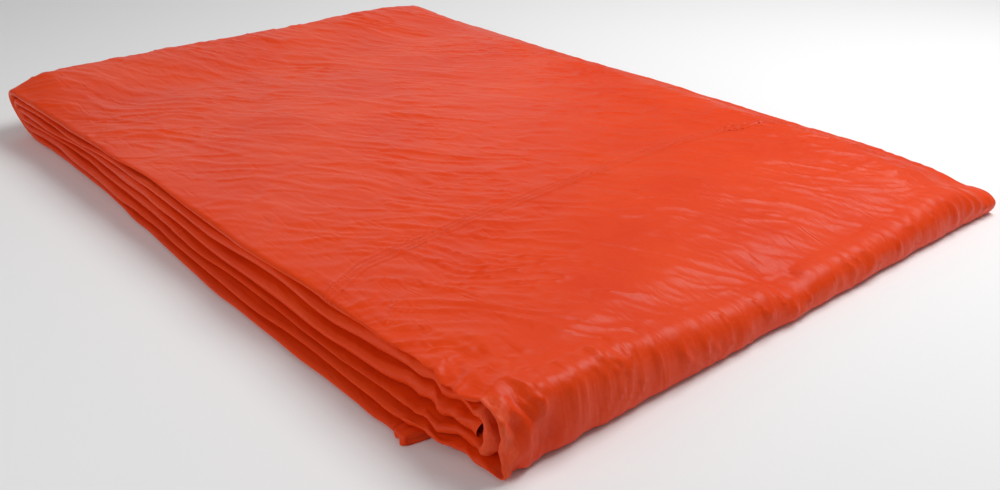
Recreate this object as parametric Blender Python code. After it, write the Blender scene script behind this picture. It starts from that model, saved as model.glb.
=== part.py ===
"""A padded ground quilt, folded in half along its length and then flat-rolled into a pack.

The pack lies on the floor. X runs along its length, with the thick rolled ends at both ends of X.
The long half-fold is at -Y and the hemmed long edges are at +Y. Z is up.
The quilt is one strip that is followed from its outer end, the leaf that lies on the floor, round
and round to its inner end. Every piece of it is a solid that is swept along that one strip.
"""
import math

import bmesh
import bpy
from mathutils import Vector

# Sizes of the pack, in metres.
FOLDED_LENGTH = 1.224  # along X, over the rolled ends
FOLDED_WIDTH = 0.915  # along Y, half of the opened quilt's width
END_SETBACK = 0.104  # how far the outer end stops short of the pack's +X end

# Thicknesses of the layers, and the room between pieces that touch.
COVER_THICKNESS = 0.0003
PADDING_THICKNESS = 0.0049
LINING_THICKNESS = 0.0003
CLEARANCE = 0.0003

# Hems and seams.
HEM_WIDTH = 0.038
SEAM_WIDTH = 0.024
FIRST_PANEL_LENGTH = 2.018  # from the outer end to the first cross seam, along the strip
LATER_PANELS = 3  # of equal length

# How the soft stack lies.
FLOOR_GAP = 0.0008  # what the pack then keeps above the floor
EDGE_TAPER_WIDTH = 0.11  # over which the stack thins towards its hemmed edges
EDGE_THICKNESS_SHARE = 0.6  # what is left of the thickness at the hemmed edges
CORNER_THICKNESS_SHARE = 0.3  # what is left of it at their +X corner, past the outer end
ROLL_SWELL = 0.011  # how much the tight rolled end at -X stands above the rest
ROLL_SWELL_LENGTH = 0.16  # over which that swell dies out along X
ROLL_SWELL_FADE = 0.07  # over which the swell dies out towards the half-fold
END_LEAF_SKEW = 0.026  # how far the outer end leaf strays towards -Y
FOLD_STRAY = {"leaf_4": 0.006, "leaf_3": 0.002, "leaf_2": -0.005, "leaf_1": 0.003, "top_leaf": 0.0}

# The first turn's hinge line, as a share of the outer roll's radius beyond that roll's centre.
HINGE_REACH = 1.3

ROLL_STEPS = 6
FOLD_STEPS = 4

HALF_THICKNESS = (
    COVER_THICKNESS + PADDING_THICKNESS + LINING_THICKNESS + 2.5 * CLEARANCE
)  # one cover, one padding and one lining, up to the middle of the half-fold
PITCH = 2 * HALF_THICKNESS + CLEARANCE  # from one leaf of the pack to the next
STACK_HEIGHT = 6 * PITCH - CLEARANCE

LEFT_RADIUS = 3 * PITCH
RIGHT_RADIUS = 2.5 * PITCH
LEFT_X = -FOLDED_LENGTH / 2 + LEFT_RADIUS - CLEARANCE / 2
RIGHT_X = FOLDED_LENGTH / 2 - RIGHT_RADIUS + CLEARANCE / 2
OUTER_END_X = FOLDED_LENGTH / 2 - END_SETBACK
LEFT_CENTRE_LEVEL = 2.5
RIGHT_CENTRE_LEVEL = 3.0

FOLD_EDGE_Y = -(FOLDED_WIDTH - END_LEAF_SKEW) / 2
HEM_EDGE_Y = FOLD_EDGE_Y + FOLDED_WIDTH
HEM_START_Y = HEM_EDGE_Y - HEM_WIDTH
TAPER_Y = HEM_EDGE_Y - EDGE_TAPER_WIDTH
INNER_END_X = RIGHT_X - CLEARANCE
SWELL_END_X = LEFT_X + ROLL_SWELL_LENGTH
SAG_START_X = OUTER_END_X + 2 * CLEARANCE

COLOURS = {
    "cover": ((0.78, 0.075, 0.022, 1.0), 0.38),
    "lining": ((0.70, 0.065, 0.020, 1.0), 0.45),
    "padding": ((0.86, 0.86, 0.84, 1.0), 0.80),
    "hem": ((0.66, 0.055, 0.018, 1.0), 0.42),
    "seam": ((0.72, 0.065, 0.020, 1.0), 0.40),
}


def smooth(value):
    """Ease from 0 to 1 as value goes from 0 to 1, and stay flat outside."""
    value = min(1.0, max(0.0, value))
    return value * value * (3.0 - 2.0 * value)


def read_between(x, rule):
    """Read a rule at x along straight lines between the stations, as the flat facets do."""
    if x <= STATIONS[0]:
        return rule(STATIONS[0])
    for low, high in zip(STATIONS, STATIONS[1:]):
        if x <= high:
            share = (x - low) / (high - low)
            return rule(low) * (1 - share) + rule(high) * share
    return rule(STATIONS[-1])


def level_height(level):
    """The height of a leaf's middle. Level 0 lies on the floor."""
    return HALF_THICKNESS + level * PITCH


def sag_rule(x):
    """How far the pack has come down towards the floor, past the end of the outer leaf."""
    return (PITCH - FLOOR_GAP) * smooth((x - SAG_START_X) / (RIGHT_X - SAG_START_X))


def edge_rule(x):
    """The share of the thickness that is left at the hemmed edges, at a place along X."""
    past_end = smooth((x - SAG_START_X) / (RIGHT_X - SAG_START_X))
    return EDGE_THICKNESS_SHARE + (CORNER_THICKNESS_SHARE - EDGE_THICKNESS_SHARE) * past_end


def swell_rule(x):
    """How much the stack swells towards the rolled end at -X, as a share of its height."""
    reach = 1 - smooth((x - LEFT_X) / ROLL_SWELL_LENGTH)
    return ROLL_SWELL / STACK_HEIGHT * reach


def height_share(x, y):
    """The share of its full height that the stack has at a place on the floor."""
    towards_hems = smooth((y - TAPER_Y) / EDGE_TAPER_WIDTH)
    edge = 1 - (1 - read_between(x, edge_rule)) * towards_hems
    from_fold = smooth((y - FOLD_EDGE_Y) / ROLL_SWELL_FADE)
    swell = read_between(x, swell_rule) * from_fold * (1 - towards_hems)
    return edge * (1 + swell)


def stray(leaf, x, y):
    """How far a leaf's half-fold strays sideways. It dies out before the hemmed edges."""
    fade = 1 - smooth((y - FOLD_EDGE_Y) / (0.6 * FOLDED_WIDTH))
    if leaf == "end_leaf":
        run = (x - LEFT_X) / (OUTER_END_X - LEFT_X)
        return -END_LEAF_SKEW * smooth((run - 0.25) / 0.6) * fade
    run = (x - LEFT_X) / (RIGHT_X - LEFT_X)
    if not 0 < run < 1:
        return 0.0
    return -FOLD_STRAY[leaf] * math.sin(math.pi * run) ** 2 * fade


class Leaf:
    """A flat stretch of the strip."""

    def __init__(self, name, start_x, end_x, level):
        self.name = name
        self.start_x = start_x
        self.end_x = end_x
        self.level = level
        self.length = abs(end_x - start_x)
        self.sign = 1 if end_x > start_x else -1

    def place(self, run):
        """The strip's middle and its outward direction, run metres into this stretch."""
        outward = Vector((0, 0, self.sign))
        return Vector((self.start_x + self.sign * run, 0, level_height(self.level))), outward

    def marks(self):
        """The runs at which this stretch has a cross-section."""
        runs = [self.sign * (x - self.start_x) for x in STATIONS]
        return sorted(run for run in runs if 0 < run < self.length)


class Roll:
    """A half turn of the strip round one of the pack's ends."""

    def __init__(self, name, centre_x, centre_level, radius, side):
        self.name = name
        self.centre = Vector((centre_x, 0, level_height(centre_level)))
        self.radius = radius
        self.side = side
        self.steps = ROLL_STEPS
        self.length = math.pi * radius

    def outward(self, step):
        """The direction away from the turn's centre after so many steps of it."""
        angle = math.pi * step / self.steps
        return Vector((self.side * math.sin(angle), 0, self.side * math.cos(angle)))

    def place(self, run):
        """The strip's middle and its outward direction, run metres into this turn.

        A place between two steps lies on the straight facet that joins them.
        """
        turned = run / self.length * self.steps
        step = min(int(turned), self.steps - 1)
        outward = self.outward(step).lerp(self.outward(step + 1), turned - step)
        return self.centre + outward * self.radius, outward

    def marks(self):
        """The runs at which this turn has a cross-section."""
        return [self.length * step / self.steps for step in range(1, self.steps)]


def make_strip():
    """The whole strip, from the quilt's outer end to its inner end."""
    left = (LEFT_X, LEFT_CENTRE_LEVEL)
    right = (RIGHT_X, RIGHT_CENTRE_LEVEL)
    return [
        Leaf("end_leaf", OUTER_END_X, LEFT_X, 0),
        Roll("end_leaf", *left, 2.5 * PITCH, -1),
        Leaf("top_leaf", LEFT_X, RIGHT_X, 5),
        Roll("top_leaf", *right, 2.0 * PITCH, 1),
        Leaf("leaf_4", RIGHT_X, LEFT_X, 1),
        Roll("leaf_4", *left, 1.5 * PITCH, -1),
        Leaf("leaf_1", LEFT_X, RIGHT_X, 4),
        Roll("leaf_1", *right, 1.0 * PITCH, 1),
        Leaf("leaf_3", RIGHT_X, LEFT_X, 2),
        Roll("leaf_3", *left, 0.5 * PITCH, -1),
        Leaf("leaf_2", LEFT_X, INNER_END_X, 3),
    ]


STRIP = make_strip()
STRIP_LENGTH = sum(stretch.length for stretch in STRIP)
FIRST_TURN_SPLIT = STRIP[0].length + STRIP[1].length / 2
LATER_PANEL_LENGTH = (STRIP_LENGTH - FIRST_PANEL_LENGTH) / LATER_PANELS
SEAMS = [FIRST_PANEL_LENGTH + count * LATER_PANEL_LENGTH for count in range(LATER_PANELS)]
HALF_SEAM = SEAM_WIDTH / 2 + CLEARANCE


def cuts_along_leaves():
    """The places along X where a hem or a cross seam begins or ends on some leaf."""
    cuts = [HEM_WIDTH, STRIP_LENGTH - HEM_WIDTH]
    for seam in SEAMS:
        cuts += [seam - HALF_SEAM, seam + HALF_SEAM]
    found = []
    passed = 0.0
    for stretch in STRIP:
        inside = [cut - passed for cut in cuts if 0 < cut - passed < stretch.length]
        found += [stretch.place(run)[0].x for run in inside]
        passed += stretch.length
    return found


def leaf_stations():
    """The places along X where every leaf has a cross-section, lowest first.

    Where the leaves slope, every leaf has one wherever any leaf is cut, so that they stay nested.
    """
    stations = []
    for low, high in ((LEFT_X, SWELL_END_X), (SAG_START_X, RIGHT_X)):
        inside = [x for x in cuts_along_leaves() if low < x < high]
        middle = 0.5 * (low + high)
        if all(abs(x - middle) > 0.2 * (high - low) for x in inside):
            inside.append(middle)
        stations += [low, *sorted(inside), high]
    return stations


STATIONS = leaf_stations()


def stations_between(start, end):
    """Every cross-section of the strip from one length along it to another."""
    found = []
    passed = 0.0
    for stretch in STRIP:
        ends = [max(start - passed, 0.0), min(end - passed, stretch.length)]
        if ends[0] < ends[1]:
            marks = [run for run in stretch.marks() if ends[0] < run < ends[1]]
            if found:
                found.pop()
            found += [(stretch, run) for run in [ends[0], *marks, ends[1]]]
        passed += stretch.length
    return found


def settle(stretch, run, y, offset):
    """Where a point of the strip comes to rest, offset metres outside the strip's middle."""
    middle, outward = stretch.place(run)
    point = middle + outward * offset
    drop = 0.0 if stretch.name == "end_leaf" else read_between(point.x, sag_rule)
    height = (point.z - drop) * height_share(point.x, y)
    return Vector((point.x, y + stray(stretch.name, point.x, y), height))


def folded_profile(offset, hem_y):
    """A line across the folded strip at one depth: over it, round the half-fold and back under."""
    straight_y = FOLD_EDGE_Y + HALF_THICKNESS
    body_y = HEM_START_Y - CLEARANCE
    half = [body_y, 0.5 * (body_y + TAPER_Y), TAPER_Y, FOLD_EDGE_Y + ROLL_SWELL_FADE, straight_y]
    if hem_y > body_y:
        half = [hem_y, 0.5 * (HEM_START_Y + hem_y), *half]
    line = [(y, offset) for y in half]
    for step in range(1, FOLD_STEPS):
        angle = math.pi * step / FOLD_STEPS
        line.append((straight_y - offset * math.sin(angle), offset * math.cos(angle)))
    return line + [(y, -offset) for y in reversed(half)]


def split_quad(bm, corners, flat_places):
    """Two triangles, cut the same way in every layer so that stacked layers never touch."""
    first = abs(sum(flat_places[2]) - sum(flat_places[0]))
    second = abs(sum(flat_places[3]) - sum(flat_places[1]))
    if first >= second:
        bm.faces.new((corners[0], corners[1], corners[2]))
        bm.faces.new((corners[0], corners[2], corners[3]))
    else:
        bm.faces.new((corners[1], corners[2], corners[3]))
        bm.faces.new((corners[1], corners[3], corners[0]))


def sweep(name, material, parent, span, outer_line, inner_line):
    """A solid between two lines across the strip, carried along the strip from span to span."""
    bm = bmesh.new()
    rings = []
    for stretch, run in stations_between(*span):
        ring = []
        for y, offset in outer_line + inner_line[::-1]:
            middle, outward = stretch.place(run)
            vertex = bm.verts.new(settle(stretch, run, y, offset))
            ring.append((vertex, ((middle + outward * offset).x, y)))
        rings.append(ring)
    count = len(rings[0])
    for ring, following in zip(rings, rings[1:]):
        for index in range(count):
            after = (index + 1) % count
            quad = (ring[index], ring[after], following[after], following[index])
            split_quad(bm, [vertex for vertex, _ in quad], [place for _, place in quad])
    for ring, ahead in ((rings[0], False), (rings[-1], True)):
        for index in range(count // 2 - 1):
            quad = [ring[index], ring[index + 1], ring[count - 2 - index], ring[count - 1 - index]]
            quad = quad if ahead else quad[::-1]
            split_quad(bm, [vertex for vertex, _ in quad], [place for _, place in quad])
    bmesh.ops.recalc_face_normals(bm, faces=bm.faces)
    if parent:
        bmesh.ops.translate(bm, verts=bm.verts, vec=-parent.location)
    mesh = bpy.data.meshes.new(name)
    bm.to_mesh(mesh)
    bm.free()
    mesh.materials.append(material)
    piece = bpy.data.objects.new(name, mesh)
    piece.parent = parent
    bpy.context.scene.collection.objects.link(piece)
    return piece


def folded_layer(name, material, parent, span, depth, thickness, hem_y=HEM_START_Y - CLEARANCE):
    """A layer of the folded strip, depth metres inside its outer face."""
    outer = HALF_THICKNESS - depth
    inner = outer - thickness
    return sweep(
        name, material, parent, span, folded_profile(outer, hem_y), folded_profile(inner, hem_y)
    )


def side_hem(name, material, parent, span, side):
    """The hem along one long edge, on the outer (+1) or inner (-1) half of the folded strip."""
    near = side * HALF_THICKNESS
    far = side * CLEARANCE / 2
    middle_y = 0.5 * (HEM_START_Y + HEM_EDGE_Y)
    ys = (HEM_START_Y, middle_y, HEM_EDGE_Y)
    return sweep(name, material, parent, span, [(y, near) for y in ys], [(y, far) for y in ys])


def make_material(name):
    """A plain Principled material of one colour and roughness."""
    colour, roughness = COLOURS[name]
    material = bpy.data.materials.new(name)
    material.use_nodes = True
    shader = material.node_tree.nodes["Principled BSDF"]
    shader.inputs["Base Color"].default_value = colour
    shader.inputs["Roughness"].default_value = roughness
    shader.inputs["Metallic"].default_value = 0.0
    return material


def make_first_turn_axis():
    """An empty on the line about which the pack turns over when it is first unrolled."""
    axis = bpy.data.objects.new("first_turn_axis", None)
    tallest = STACK_HEIGHT + ROLL_SWELL
    axis.location = (LEFT_X - HINGE_REACH * LEFT_RADIUS, 0, tallest / 2)
    bpy.context.scene.collection.objects.link(axis)
    return axis


FULL_DEPTH = HALF_THICKNESS - CLEARANCE / 2  # of a hem or a seam, which takes in all the layers
LAYERS = (
    ("cover", 0.0, COVER_THICKNESS),
    ("padding", COVER_THICKNESS + CLEARANCE, PADDING_THICKNESS),
    ("lining", COVER_THICKNESS + PADDING_THICKNESS + 2 * CLEARANCE, LINING_THICKNESS),
)


def make_layers(materials, axis):
    """Cover, padding and lining, each in the panels that the cross seams divide it into."""
    first = HEM_WIDTH + CLEARANCE
    last = STRIP_LENGTH - HEM_WIDTH - CLEARANCE
    half_gap = CLEARANCE / 2
    for layer, depth, thickness in LAYERS:
        end_leaf = (first, FIRST_TURN_SPLIT - half_gap)
        top_leaf = (FIRST_TURN_SPLIT + half_gap, SEAMS[0] - HALF_SEAM)
        folded_layer(f"{layer}_end_leaf", materials[layer], None, end_leaf, depth, thickness)
        folded_layer(f"{layer}_top_leaf", materials[layer], axis, top_leaf, depth, thickness)
        ends = [seam - HALF_SEAM for seam in SEAMS[1:]] + [last]
        for number, (seam, end) in enumerate(zip(SEAMS, ends), start=2):
            span = (seam + HALF_SEAM, end)
            name = f"{layer}_panel_{number}"
            folded_layer(name, materials[layer], axis, span, depth, thickness)


def make_cross_seams(materials, axis):
    """The bands where two panels overlap and are stitched through all the layers."""
    for number, seam in enumerate(SEAMS, start=1):
        span = (seam - SEAM_WIDTH / 2, seam + SEAM_WIDTH / 2)
        name = f"cross_seam_{number}"
        folded_layer(name, materials["seam"], axis, span, 0.0, FULL_DEPTH)


def make_hems(materials, axis):
    """The folded hems across both ends and along both long edges."""
    hem = materials["hem"]
    outer_span = (0.0, HEM_WIDTH)
    inner_span = (STRIP_LENGTH - HEM_WIDTH, STRIP_LENGTH)
    folded_layer("outer_end_hem", hem, None, outer_span, 0.0, FULL_DEPTH, HEM_EDGE_Y)
    folded_layer("inner_end_hem", hem, axis, inner_span, 0.0, FULL_DEPTH, HEM_EDGE_Y)
    end_span = (HEM_WIDTH + CLEARANCE, FIRST_TURN_SPLIT - CLEARANCE / 2)
    pack_span = (FIRST_TURN_SPLIT + CLEARANCE / 2, STRIP_LENGTH - HEM_WIDTH - CLEARANCE)
    for place, side in (("outer", 1), ("inner", -1)):
        side_hem(f"{place}_side_hem_end_leaf", hem, None, end_span, side)
        side_hem(f"{place}_side_hem_pack", hem, axis, pack_span, side)


def main():
    """Clear the scene and make every piece."""
    for thing in list(bpy.data.objects):
        bpy.data.objects.remove(thing, do_unlink=True)
    materials = {name: make_material(name) for name in COLOURS}
    axis = make_first_turn_axis()
    make_layers(materials, axis)
    make_cross_seams(materials, axis)
    make_hems(materials, axis)
    bpy.context.view_layer.update()


main()
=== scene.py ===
"""Looks for a padded ground quilt that is folded in half and flat-rolled into a pack.

The quilt is one long strip, cover outside, foam between and lining inside. Every piece is made
from places on that strip, given as a run along it and a place across it, and Strip.settle() says
where each place comes to rest in the pack, so that layers which touch always move together.
"""
import math

import bpy
import numpy as np
from bpy.props import FloatProperty, FloatVectorProperty, PointerProperty
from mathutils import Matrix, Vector


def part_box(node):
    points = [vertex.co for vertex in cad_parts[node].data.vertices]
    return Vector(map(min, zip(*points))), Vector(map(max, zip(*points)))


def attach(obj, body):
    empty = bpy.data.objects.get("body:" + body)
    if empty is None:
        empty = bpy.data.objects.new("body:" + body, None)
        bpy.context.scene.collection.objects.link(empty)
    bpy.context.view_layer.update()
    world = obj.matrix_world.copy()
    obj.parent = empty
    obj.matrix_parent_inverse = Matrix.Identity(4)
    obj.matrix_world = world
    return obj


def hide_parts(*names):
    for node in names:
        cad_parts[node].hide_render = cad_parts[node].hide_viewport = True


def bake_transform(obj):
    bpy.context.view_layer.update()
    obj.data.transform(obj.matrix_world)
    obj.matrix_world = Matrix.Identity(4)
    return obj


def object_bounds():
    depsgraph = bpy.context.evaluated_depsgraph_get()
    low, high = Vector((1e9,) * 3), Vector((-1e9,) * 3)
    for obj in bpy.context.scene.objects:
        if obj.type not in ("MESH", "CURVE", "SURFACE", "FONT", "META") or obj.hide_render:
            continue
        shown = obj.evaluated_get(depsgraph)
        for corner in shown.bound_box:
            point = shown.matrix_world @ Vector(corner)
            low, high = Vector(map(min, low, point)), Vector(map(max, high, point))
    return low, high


bl_info = {
    "name": "Flat-Rolled Ground Quilt",
    "version": (1, 0, 0),
    "blender": (4, 5, 0),
    "location": "View3D > Sidebar > Quilt",
    "description": "Cloth, foam, hems and stitching of a padded ground quilt rolled into a pack",
    "category": "Object",
}

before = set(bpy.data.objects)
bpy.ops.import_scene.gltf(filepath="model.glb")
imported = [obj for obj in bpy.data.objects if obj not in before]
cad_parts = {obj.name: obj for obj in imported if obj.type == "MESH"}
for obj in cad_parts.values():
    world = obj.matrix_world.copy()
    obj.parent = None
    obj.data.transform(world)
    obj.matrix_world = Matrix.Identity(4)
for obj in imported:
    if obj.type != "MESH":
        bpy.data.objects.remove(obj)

PACK_LOW, PACK_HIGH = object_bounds()
END_HEM_LOW, END_HEM_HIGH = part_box("outer_end_hem")
SEAM_LOW, SEAM_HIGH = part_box("cross_seam_1")

LEAF = END_HEM_HIGH.z - END_HEM_LOW.z  # one folded leaf, two padded halves
LEAF_GAP = 0.0003
LEAVES = 6
PITCH = LEAF + LEAF_GAP
HALF = LEAF / 2
STACK = LEAVES * PITCH - LEAF_GAP
LEFT_X = PACK_LOW.x + 3 * PITCH - LEAF_GAP / 2
RIGHT_X = PACK_HIGH.x - 2.5 * PITCH + LEAF_GAP / 2
OUTER_END_X = END_HEM_HIGH.x
FOLD_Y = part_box("cover_top_leaf")[0].y
HEM_Y = PACK_HIGH.y
HEM_WIDTH = END_HEM_HIGH.x - END_HEM_LOW.x
WIDTH = HEM_Y - FOLD_Y
STRAIGHT_Y = FOLD_Y + HALF  # where the half-fold's round lip begins
SEAM_WIDTH = 0.024
SWELL = PACK_HIGH.z - STACK  # how much the roll at -X stands above the rest

# How the layers lie inside one another.
FOAM_DEPTH = 0.0020  # from the outer face of the cover to the foam
LINING_DEPTH = 0.0055  # and to the lining
FOAM_RECESS = 0.012  # how far the foam stops short of the half-fold's lip
SEAM_LAP = 0.002  # how far a panel reaches under a seam or a hem
HEM_PROUD = 0.0003  # how far an end hem lies outside the cover
SEAM_PROUD = 0.0002  # and a cross seam

# How high each leaf's upper side lies at the half-fold, in shares of the stack, at places along X.
BAND_X = (-0.56, -0.45, -0.28, -0.11, 0.035, 0.16, 0.275, 0.37, 0.46, 0.525, 0.575)
BAND_SHARES = (
    (0.167, 0.160, 0.120, 0.110, 0.125, 0.125, 0.120, 0.115, 0.120, 0.150, 0.167),
    (0.333, 0.403, 0.361, 0.273, 0.270, 0.255, 0.240, 0.250, 0.270, 0.290, 0.300),
    (0.500, 0.505, 0.526, 0.514, 0.382, 0.350, 0.330, 0.350, 0.400, 0.430, 0.460),
    (0.667, 0.643, 0.713, 0.763, 0.605, 0.646, 0.560, 0.610, 0.710, 0.720, 0.700),
    (0.833, 0.779, 0.852, 0.935, 0.825, 0.851, 0.835, 0.920, 0.950, 0.940, 0.900),
)
BAND_REACH = 0.15  # how far into the pack that unevenness goes
LIP_REACH = 0.030  # how far from the half-fold's lip its bend is felt
HEM_TAPER = 0.11  # over which the stack thins towards its hemmed edges
EDGE_LOSS = 0.4  # how much of the thickness is lost at those edges
SWELL_LENGTH = 0.16  # over which the swell at -X dies out along X
SWELL_FADE = 0.07  # and towards the half-fold
ROLL_SETBACK = 0.060  # how far foam and lining of the moving roll stay away from the hems
# How far the cloth is pulled along X round the first cross seam, at places along Y.
SEAM_BEND_Y = np.linspace(-0.475, 0.475, 20)
SEAM_BEND_X = np.interp(
    SEAM_BEND_Y,
    (-0.475, -0.45, -0.425, -0.392, -0.34, -0.29, -0.215, -0.025, 0.15, 0.28, 0.385, 0.475),
    (0.082, 0.078, 0.060, 0.036, 0.028, 0.024, 0.016, 0.010, 0.002, 0.012, 0.040, 0.062),
)

# Steps between points.
ROLL_STEP = 0.004  # round the rolls
SHOWN_STEP = 0.0045  # across cloth that shows
COVERED_STEP = 0.02  # along and across what is covered
HIDDEN_STEP = 0.03  # across cloth inside the pack

# The stage.
LIGHTS = (  # name, place, what it points at, size, power
    ("overhead_softbox", (0.55, 1.15, 2.0), (0.1, 0, 0), 1.4, 43.0),
    ("back_softbox", (-2.8, 1.5, 1.3), (0, 0, 0), 2.4, 9.0),
    ("front_fill", (0.3, -2.6, 1.2), (0, 0, 0), 1.8, 18.0),
)
WORLD_STRENGTH = 0.26
FLOOR_REACH, FLOOR_Z = 6.0, -0.0006
CAMERA_PLACE = (1.192, -0.948, 0.618)
CAMERA_HEADING, CAMERA_PITCH = (-0.7548, 0.6559, 0), 26.1
SENSOR_WIDTH, FOCAL_LENGTH = 36.0, 38.16


def smooth(value):
    """Ease from 0 to 1 as value goes from 0 to 1."""
    value = np.clip(value, 0.0, 1.0)
    return value * value * (3.0 - 2.0 * value)


def bell(value, width):
    """1 where value is 0, falling to nearly 0 at twice the width."""
    return np.exp(-((value / width) ** 2))


def drift(u, v, seed):
    """Smooth random hills from -1 to 1, one unit apart."""
    table = np.random.RandomState(seed).uniform(-1, 1, (64, 64))
    u0, v0 = np.floor(u).astype(int), np.floor(v).astype(int)
    fu, fv = u - u0, v - v0
    fu, fv = fu * fu * fu * (fu * (6 * fu - 15) + 10), fv * fv * fv * (fv * (6 * fv - 15) + 10)
    a, b = table[u0 % 64, v0 % 64], table[(u0 + 1) % 64, v0 % 64]
    c, d = table[u0 % 64, (v0 + 1) % 64], table[(u0 + 1) % 64, (v0 + 1) % 64]
    return (a * (1 - fu) + b * fu) * (1 - fv) + (c * (1 - fu) + d * fu) * fv


def creases(u, v, seed, sharpness=3.0):
    """Thin ridges from 0 to 1 that wander about one unit apart."""
    u, v = u + 0.6 * drift(u * 0.7, v * 0.7, seed + 1), v + 0.6 * drift(u * 0.7, v * 0.7, seed + 2)
    return (1 - np.abs(drift(u, v, seed))) ** sharpness


def crumples(u, v, seed):
    """Crushed facets from 0 to 1 with sharp ridges between them, about one unit across."""
    table = np.random.RandomState(seed).uniform(0, 1, (64, 64, 2))
    u0, v0 = np.floor(u).astype(int), np.floor(v).astype(int)
    nearest = np.full(np.broadcast(u, v).shape, 9.0)
    for du in (-1, 0, 1):
        for dv in (-1, 0, 1):
            spot = table[(u0 + du) % 64, (v0 + dv) % 64]
            away = np.hypot(u0 + du + spot[..., 0] - u, v0 + dv + spot[..., 1] - v)
            nearest = np.minimum(nearest, away)
    return np.clip(nearest, 0, 1.2) / 1.2


# The parts of the strip in order, from its outer end: flat leaves, and the rolls between them.
(END_LEAF, MOVING_ROLL, TOP_LEAF, FRONT_ROLL, LEAF_4, ROLL_4, LEAF_1, ROLL_1, LEAF_3, ROLL_3,
 LEAF_2) = range(11)
ROLLS = (MOVING_ROLL, FRONT_ROLL, ROLL_4, ROLL_1, ROLL_3)


class Strip:
    """The whole quilt, folded in half, from its outer end to its inner end."""

    def __init__(self):
        left, right = (LEFT_X, 2.5), (RIGHT_X, 3.0)
        # A leaf is given by where it starts and ends along X and its level in the stack, and a
        # roll by its middle and its level, its radius, and the side of the pack that it is on.
        self.parts = [
            (OUTER_END_X, LEFT_X, 0),
            (left, 2.5 * PITCH, -1),
            (LEFT_X, RIGHT_X, 5),
            (right, 2.0 * PITCH, 1),
            (RIGHT_X, LEFT_X, 1),
            (left, 1.5 * PITCH, -1),
            (LEFT_X, RIGHT_X, 4),
            (right, 1.0 * PITCH, 1),
            (RIGHT_X, LEFT_X, 2),
            (left, 0.5 * PITCH, -1),
            (LEFT_X, RIGHT_X - LEAF_GAP, 3),
        ]
        self.lengths = [
            math.pi * part[1] if index in ROLLS else abs(part[1] - part[0])
            for index, part in enumerate(self.parts)
        ]
        self.starts = np.concatenate([[0.0], np.cumsum(self.lengths)])
        self.length = self.starts[-1]

    def place(self, runs):
        """Middle of the strip and its outward direction at each run, and which part it is on."""
        runs = np.clip(runs, 0, self.length)
        part = np.searchsorted(self.starts, runs, side="right") - 1
        part = np.clip(part, 0, len(self.parts) - 1)
        x, z, out_x, out_z = (np.zeros(len(runs)) for _ in range(4))
        for index, shape in enumerate(self.parts):
            here = part == index
            run = runs[here] - self.starts[index]
            if index in ROLLS:
                (mid_x, level), radius, side = shape
                angle = math.pi * run / self.lengths[index]
                sine, cosine = np.sin(angle), np.cos(angle)
                if side > 0:  # the outer roll at +X stands square, the inner is pressed flat
                    outer = index == FRONT_ROLL
                    squareness = np.where(cosine < 0, 0.28, 0.60) if outer else 1.5
                    sine = np.maximum(sine, 0) ** squareness
                out_x[here], out_z[here] = side * sine, side * cosine
                x[here] = mid_x + out_x[here] * radius
                z[here] = HALF + level * PITCH + out_z[here] * radius
            else:
                start, end, level = shape
                sign = 1 if end > start else -1
                out_z[here] = sign
                x[here] = start + sign * run
                z[here] = HALF + level * PITCH
        return x, z, out_x, out_z, part

    def settle(self, runs, ys, offsets, proud=0.0, skin=1.0):
        """Where places on the strip come to rest, as rows of runs by columns of places across.

        offsets are measured outwards from the middle of the folded strip, and proud is added on
        both sides of it. skin is 1 for cloth that shows, which crinkles off the padding, and 0
        for foam and lining.
        """
        mid_x, mid_z, out_x, out_z, part = (a[:, None] for a in self.place(np.asarray(runs)))
        runs = np.asarray(runs)[:, None]
        y, offset = np.asarray(ys)[None, :] + 0 * mid_x, np.asarray(offsets)[None, :] + 0 * mid_x
        lip = smooth((STRAIGHT_Y + LIP_REACH - y) / 0.042)
        fold_side = 1 - smooth((y - FOLD_Y) / BAND_REACH)
        hems = smooth((y - (HEM_Y - HEM_TAPER)) / HEM_TAPER)
        loose = drift(runs / 0.09, 10 * part + 0.5, 5) * 0.5 + 0.5
        outer = np.clip((offset / HALF + 1) / 2, 0, 1.1)
        facing = skin * np.clip(1.3 * offset / HALF, 0, 1)
        offset = offset * (1 - (0.18 + 0.30 * loose) * lip)
        rim = (part == FRONT_ROLL) * smooth((STRAIGHT_Y + LIP_REACH - y) / 0.034)
        offset = offset * (1 - 0.72 * rim) + (0.20 + 0.35 * skin) * HALF * rim
        corner = smooth((mid_x - 0.44) / 0.10) * (1 - smooth((y - FOLD_Y - 0.02) / 0.09))
        turning = (part == MOVING_ROLL) * smooth(-2 * out_x)
        thinner = np.minimum(0.78 * corner + 0.92 * turning + 0.40 * lip, 0.92)
        offset = offset * (1 - thinner * (1 - skin))
        offset = offset + np.sign(offset) * proud
        swells, crinkles = self.wrinkles(runs, y, part)
        round_front = 0.3 + 0.7 * smooth((0.8 + out_z) / 0.8)
        crinkles = crinkles * np.where(part == FRONT_ROLL, round_front, 1)
        offset = offset + outer * swells + facing * np.maximum(crinkles, -0.0013)
        x = mid_x + out_x * offset
        z = mid_z + out_z * offset
        z = self.heights(x, y, z, part, fold_side, hems)
        y = y + self.strays(x, y, part, runs) - proud * smooth((STRAIGHT_Y - y) / HALF)
        x, y, z = self.lean(x, y, z)
        inside = 1 - skin  # foam and lining stop short of the crushed corner, the roll and the hem
        y = y + 0.016 * rim * inside
        y = y - ROLL_SETBACK * turning * inside * smooth((y - 0.30) / 0.10)
        near = smooth((mid_x - 0.46) / 0.06) * bell(y - PINCH[1], 0.06)
        z = z - 0.0015 * inside * near * ((part == TOP_LEAF) | (part == FRONT_ROLL))
        x, y, z = self.crumple(x, y, z, corner, skin)
        return np.stack([x, y, np.maximum(z, 0.0)], axis=-1)

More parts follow.
